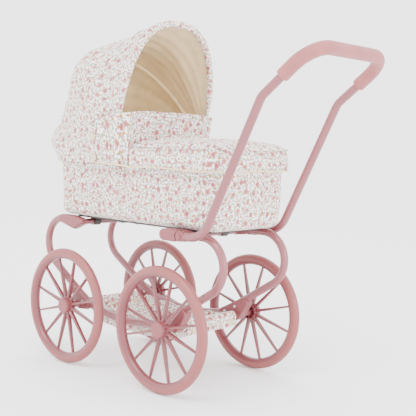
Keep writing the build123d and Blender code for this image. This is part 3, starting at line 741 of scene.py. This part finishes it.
def u_path(x0, x1, y, corner, z, steps=24):
    """Open U in plan: along one side, round the end at x1, and back; the end may lie either way."""
    s = 1 if x1 > x0 else -1
    pts = [(x, y) for x in np.linspace(x0, x1 - s * corner, 30)]
    for k in np.linspace(0, 90, steps)[1:]:
        t = radians(k)
        pts.append((x1 - s * corner + s * corner * sin(t), y - corner + corner * cos(t)))
    pts += [(x1, v) for v in np.linspace(y - corner, -(y - corner), 24)[1:-1]]
    pts += [(x, -v) for x, v in reversed(pts[:30 + steps - 1])]
    return np.array([(px, py, z) for px, py in pts])


COLLAR_Y = 105.6 * MM        # half the width across the windbreak's cloth
clo, chi = span("windbreak_collar")
line = u_path(clo.x + 2 * MM, ahi.x + 0.3 * MM, ahi.y + 0.3 * MM, 26 * MM, alo.z + 1.6 * MM)
over_collar = 1 - ramp(line[:, 0], chi.x - 22 * MM, chi.x + 8 * MM)
line[:, 1] += np.sign(line[:, 1]) * over_collar * (COLLAR_Y + 0.2 * MM - ahi.y)
line[:, 2] += 3.6 * MM * over_collar
line[:, 2] += 0.9 * MM * np.sin(line[:, 0] * 38 + 1.2)
piping = tube("apron_piping", line, 1.3 * MM, "lining_fabric", 12)
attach(piping, "chassis")
line = u_path(alo.x + 4 * MM, ahi.x - 2.6 * MM, ahi.y - 2.4 * MM, 24 * MM, ahi.z - 10.5 * MM)
welt = tube("apron_welt", line, 1.5 * MM, "floral_fabric", 12)
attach(welt, "chassis")

# ---------------------------------------------------------------- windbreak
plan = u_path(clo.x, chi.x - 1.5 * MM, COLLAR_Y - 1.5 * MM, 21 * MM, 0)
length = np.concatenate([[0], np.cumsum(np.linalg.norm(np.diff(plan, axis=0), axis=1))])
at = np.linspace(0, length[-1], 520)
plan = np.stack([np.interp(at, length, plan[:, k]) for k in range(3)], axis=1)
tangent = np.gradient(plan, axis=0)
tangent /= np.linalg.norm(tangent, axis=1)[:, None]
outward = np.stack([tangent[:, 1], -tangent[:, 0], 0 * at], axis=1)
if outward[0, 1] * plan[0, 1] < 0:
    outward = -outward
across_front = 1 - ramp(np.abs(plan[:, 1]), 80 * MM, 94 * MM)
from_end = np.minimum(at, at[-1] - at)
low = (349.8 + 38 * across_front) * MM
high = (423 + 14.5 * ramp(from_end, 0.0, 0.12)) * MM - 12 * MM * (1 - ramp(from_end, 0.0, 0.018))
gather = waves(at, ((0.9, 0.0125, 1.3 * np.sin(at * 40)), (0.6, 0.0078, 2), (0.5, 0.031, 0)))
rows = []
for h in np.linspace(0, 1, 30):
    z = low + (high - low) * h
    grow = (z - 352 * MM) * 0.098
    pleat = gather * (0.35 + 0.9 * ramp(h, 0.45, 0.95)) * ramp(from_end, 0.0, 0.03)
    roll = 1.6 * MM * np.sin(pi * ramp(h, 0.86, 1.0)) - 0.8 * MM
    p = plan + outward * (grow * (0.25 + 0.75 * (1 - across_front)) + pleat * 0.8 + roll)[:, None]
    p[:, 2] = z
    rows.append(p)
collar = surface("windbreak", np.array(rows), materials=("floral_fabric",))
thicken(collar, 1.6 * MM, offset=0.0)
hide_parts("windbreak_collar")
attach(collar, "chassis")
edge = rows[-1].copy()
edge[:, 2] += 0.2 * MM
roll = tube("windbreak_hem", edge[::3], 2.1 * MM, "floral_fabric", 12)
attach(roll, "chassis")

# ---------------------------------------------------------------- basket sling
blo, bhi = span("basket")
slo, shi = span("front_axle_sleeve")
rlo, rhi = span("rear_axle_sleeve")
bar_z = (slo.z + shi.z) / 2
front_bar, rear_bar = (slo.x + shi.x) / 2, (rlo.x + rhi.x) / 2
wrap = (shi.z - slo.z) / 2 + 1.6 * MM
profile = [(front_bar - wrap, bar_z - 4 * MM)]
profile += [(front_bar + wrap * cos(t), bar_z + wrap * sin(t)) for t in np.linspace(pi, 0, 9)]
floor_z = blo.z + 1.2 * MM
sling_x = np.linspace(front_bar + wrap + 1 * MM, rear_bar - wrap - 1 * MM, 44)
belly = np.clip(np.abs(sling_x - (front_bar + rear_bar) / 2) / (sling_x[-1] - sling_x[0]) * 2, 0, 1)
lift = 9 * MM * belly ** 3 + 14 * MM * ramp(belly, 0.9, 1.0)
profile += [(x, floor_z + z) for x, z in zip(sling_x, lift)]
profile += [(rear_bar + wrap * cos(t), bar_z + wrap * sin(t)) for t in np.linspace(pi, 0, 9)]
profile += [(rear_bar + wrap + 0.6 * MM, bar_z - z * MM) for z in (4, 8, 12, 16)]
profile = np.array(profile)
on_floor = ramp(bar_z - profile[:, 1], 12 * MM, 22 * MM)
cols = np.linspace(-1, 1, 61)
rows = []
for (x, z), f in zip(profile, on_floor):
    half = 58 * MM * (1 - f) + 63.5 * MM * f
    edge_up = 27 * MM * f * ramp(np.abs(cols), 0.86, 1.0) ** 1.2
    wave = (0.8 * np.sin(x * 120 + cols * 9) + 0.6 * np.sin(x * 260 + cols * 4)) * MM
    y = half * np.sign(cols) * np.minimum(1, np.abs(cols) / 0.9)
    rows.append(np.stack([np.full(61, x), y, z + edge_up + wave * f * (0.3 + np.abs(cols) ** 2)], axis=1))
sling = surface("basket_sling", np.array(rows), materials=("floral_fabric",))
weld(sling, 1e-6)
sub = sling.modifiers.new("sub", "SUBSURF")
sub.levels = sub.render_levels = 1
bake(sling)
thicken(sling, 1.2 * MM, offset=0.0)
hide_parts("basket")
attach(sling, "chassis")
for side in (0, -1):
    line = np.array([r[side] for r, f in zip(rows, on_floor) if f > 0.85])
    hem = tube(f"basket_hem_{'left' if side == 0 else 'right'}", line, 1.6 * MM, "floral_fabric", 12)
    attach(hem, "chassis")

# ---------------------------------------------------------------- fasteners
snap_profile = [(0, 0), (0.96, 0), (1, 0.12), (1, 0.5), (0.94, 0.82), (0.86, 0.98), (0.74, 1.0), (0.66, 0.9),
                (0.6, 0.72), (0.52, 0.66), (0.3, 0.72), (0, 0.76)]
turned_pieces("side_snaps", "collar_snaps", snap_profile, lambda m: (0, 1 if m[1] > 0 else -1, 0), "snap_cream")
turned_pieces("sling_snaps", "basket_snaps", snap_profile, lambda m: (1, 0, 0), "snap_cream")
head_profile = [(0, 0), (1, 0), (1, 0.35), (0.93, 0.62), (0.75, 0.85), (0.5, 0.97), (0.36, 1.0), (0.3, 0.75),
                (0.12, 0.6), (0, 0.58)]
tube_lo, tube_hi = span("front_tube_right")
arms = abs(tube_lo.y + tube_hi.y) / 2
turned_pieces("bolt_heads", "bracket_bolts", head_profile,
              lambda m: (0, (1 if abs(m[1]) > arms else -1) * (1 if m[1] > 0 else -1), 0), "bright_steel", 28)
turned_pieces("screw_heads", "connector_screws", head_profile,
              lambda m: (0, 0, -1) if abs(abs(m[1]) - arms) < 3 * MM else (0, -1 if m[1] > 0 else 1, 0),
              "bright_steel", 28)

# ---------------------------------------------------------------- studio
bpy.ops.mesh.primitive_plane_add(size=14, location=(0, 0, -0.0005))
floor = bpy.context.object
floor.name = "floor"
paper = Shader("paper")
tone = paper.noise(paper.coords("Object"), 3.0)
paper.set(Base_Color=paper.mix(tone, rgb(252, 252, 252), rgb(254, 254, 254)), Roughness=0.9)
floor.data.materials.append(paper.mat)

world = bpy.data.worlds.new("studio")
bpy.context.scene.world = world
world.use_nodes = True
world.node_tree.nodes["Background"].inputs[0].default_value = (1, 1, 1, 1)
world.node_tree.nodes["Background"].inputs[1].default_value = 3.4


def softbox(name, where, power, size):
    light = bpy.data.lights.new(name, "AREA")
    light.energy, light.size = power, size
    obj = bpy.data.objects.new(name, light)
    bpy.context.scene.collection.objects.link(obj)
    obj.location = where
    obj.rotation_mode = "QUATERNION"
    obj.rotation_quaternion = (Vector(where) - Vector((0, 0, 0.3))).to_track_quat("Z", "Y")


softbox("key", (0.3, -2.2, 2.6), 60, 1.0)
softbox("fill", (2.6, -0.2, 0.9), 40, 1.2)
softbox("rim", (-2.0, 1.2, 1.8), 10, 1.4)

cam = bpy.data.cameras.new("camera")
cam.lens, cam.sensor_width = 69.77, 36.0
cam_obj = bpy.data.objects.new("camera", cam)
bpy.context.scene.collection.objects.link(cam_obj)
az, el, roll_angle = radians(43.02), radians(4.64), radians(1.76)
back = Vector((sin(az) * cos(el), -cos(az) * cos(el), sin(el)))
right = Vector((cos(az), sin(az), 0))
up = back.cross(right)
image_right = cos(roll_angle) * right + sin(roll_angle) * up
image_up = -sin(roll_angle) * right + cos(roll_angle) * up
turned = Matrix((image_right, image_up, back)).transposed()
cam_obj.matrix_world = Matrix.Translation((1.0073 + wheelbase_x, -0.9620, 0.3912)) @ turned.to_4x4()
bpy.context.scene.camera = cam_obj
